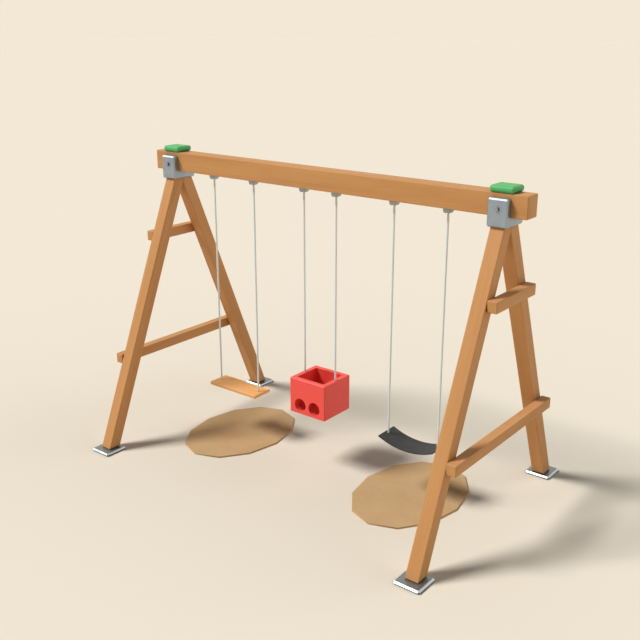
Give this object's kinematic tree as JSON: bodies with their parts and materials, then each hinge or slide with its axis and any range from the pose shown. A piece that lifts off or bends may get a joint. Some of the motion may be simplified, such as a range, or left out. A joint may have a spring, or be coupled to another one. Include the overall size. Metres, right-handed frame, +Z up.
{
  "type": "a-frame swing set",
  "caption": "Garden swing set: timber A-frames joined by a beam, with a flat board swing, a bucket seat swing and a bent belt swing on ropes.",
  "frame": {"origin": "on the ground under the middle of the beam", "axes": "+X along the beam towards the belt swing, -Y towards the front (the side with the bracket bolts and the bucket's leg holes), +Z up"},
  "size_m": [3.2, 1.969, 2.2933],
  "materials": {
    "wood": "smooth planed timber, clear satin coat",
    "board": "light sanded timber, clear satin coat",
    "bucket": "satin moulded plastic",
    "belt": "matt rubber",
    "bracket": "cast, satin",
    "plate": "rolled plate with bright bevelled edges",
    "steel": "zinc plated",
    "hanger": "cast, satin",
    "cap": "satin moulded plastic",
    "rope": "three-strand laid rope",
    "mat": "matt granulated rubber"
  },
  "bodies": {
    "frame": {"top_beam": "wood", "leg_left_front": "wood", "leg_left_rear": "wood", "leg_right_front": "wood", "leg_right_rear": "wood", "brace_left_upper": "wood", "brace_left_lower": "wood", "brace_right_upper": "wood", "brace_right_lower": "wood", "brace_dowel_left_upper_front": "steel", "brace_dowel_left_upper_rear": "steel", "brace_dowel_left_lower_front": "steel", "brace_dowel_left_lower_rear": "steel", "brace_dowel_right_upper_front": "steel", "brace_dowel_right_upper_rear": "steel", "brace_dowel_right_lower_front": "steel", "brace_dowel_right_lower_rear": "steel", "head_bracket_left": "bracket", "head_bracket_right": "bracket", "bracket_bolt_left": "steel", "bracket_bolt_right": "steel", "leg_screw_left_front": "steel", "leg_screw_left_rear": "steel", "leg_screw_right_front": "steel", "leg_screw_right_rear": "steel", "foot_plate_left_front": "plate", "foot_plate_left_rear": "plate", "foot_plate_right_front": "plate", "foot_plate_right_rear": "plate", "beam_cap_left": "cap", "beam_cap_right": "cap", "landing_mat_board": "mat", "landing_mat_belt": "mat", "hanger_board_left": "hanger", "hanger_board_right": "hanger", "hanger_bucket_left": "hanger", "hanger_bucket_right": "hanger", "hanger_belt_left": "hanger", "hanger_belt_right": "hanger", "hanger_pin_board_left": "steel", "hanger_pin_board_right": "steel", "hanger_pin_bucket_left": "steel", "hanger_pin_bucket_right": "steel", "hanger_pin_belt_left": "steel", "hanger_pin_belt_right": "steel"},
    "board_ropes": {"rope_board_left": "rope", "rope_board_right": "rope"},
    "board": {"board_seat": "board", "rope_tail_board_left": "rope", "rope_tail_board_right": "rope"},
    "bucket_ropes": {"rope_bucket_left": "rope", "rope_bucket_right": "rope"},
    "bucket": {"bucket_seat": "bucket", "rope_tail_bucket_left": "rope", "rope_tail_bucket_right": "rope"},
    "belt_ropes": {"rope_belt_left": "rope", "rope_belt_right": "rope"},
    "belt": {"belt_seat": "belt", "rope_tail_belt_left": "rope", "rope_tail_belt_right": "rope"}
  },
  "joints": [
    {"name": "board_swing", "type": "hinge", "parent": "frame", "child": "board_ropes", "pos_m": [-0.828, 0, 2.0837], "axis": [1, 0, 0], "range_deg": [-50, 50]},
    {"name": "board_tilt", "type": "hinge", "parent": "board_ropes", "child": "board", "pos_m": [-0.828, 0, 0.415], "axis": [1, 0, 0], "range_deg": [-20, 20]},
    {"name": "bucket_swing", "type": "hinge", "parent": "frame", "child": "bucket_ropes", "pos_m": [0, 0, 2.0837], "axis": [1, 0, 0], "range_deg": [-50, 50]},
    {"name": "bucket_tilt", "type": "hinge", "parent": "bucket_ropes", "child": "bucket", "pos_m": [0, 0, 0.704], "axis": [1, 0, 0], "range_deg": [-20, 20]},
    {"name": "belt_swing", "type": "hinge", "parent": "frame", "child": "belt_ropes", "pos_m": [0.828, 0, 2.0837], "axis": [1, 0, 0], "range_deg": [-50, 50]},
    {"name": "belt_tilt", "type": "hinge", "parent": "belt_ropes", "child": "belt", "pos_m": [0.828, 0, 0.4241], "axis": [1, 0, 0], "range_deg": [-20, 20]}
  ]
}
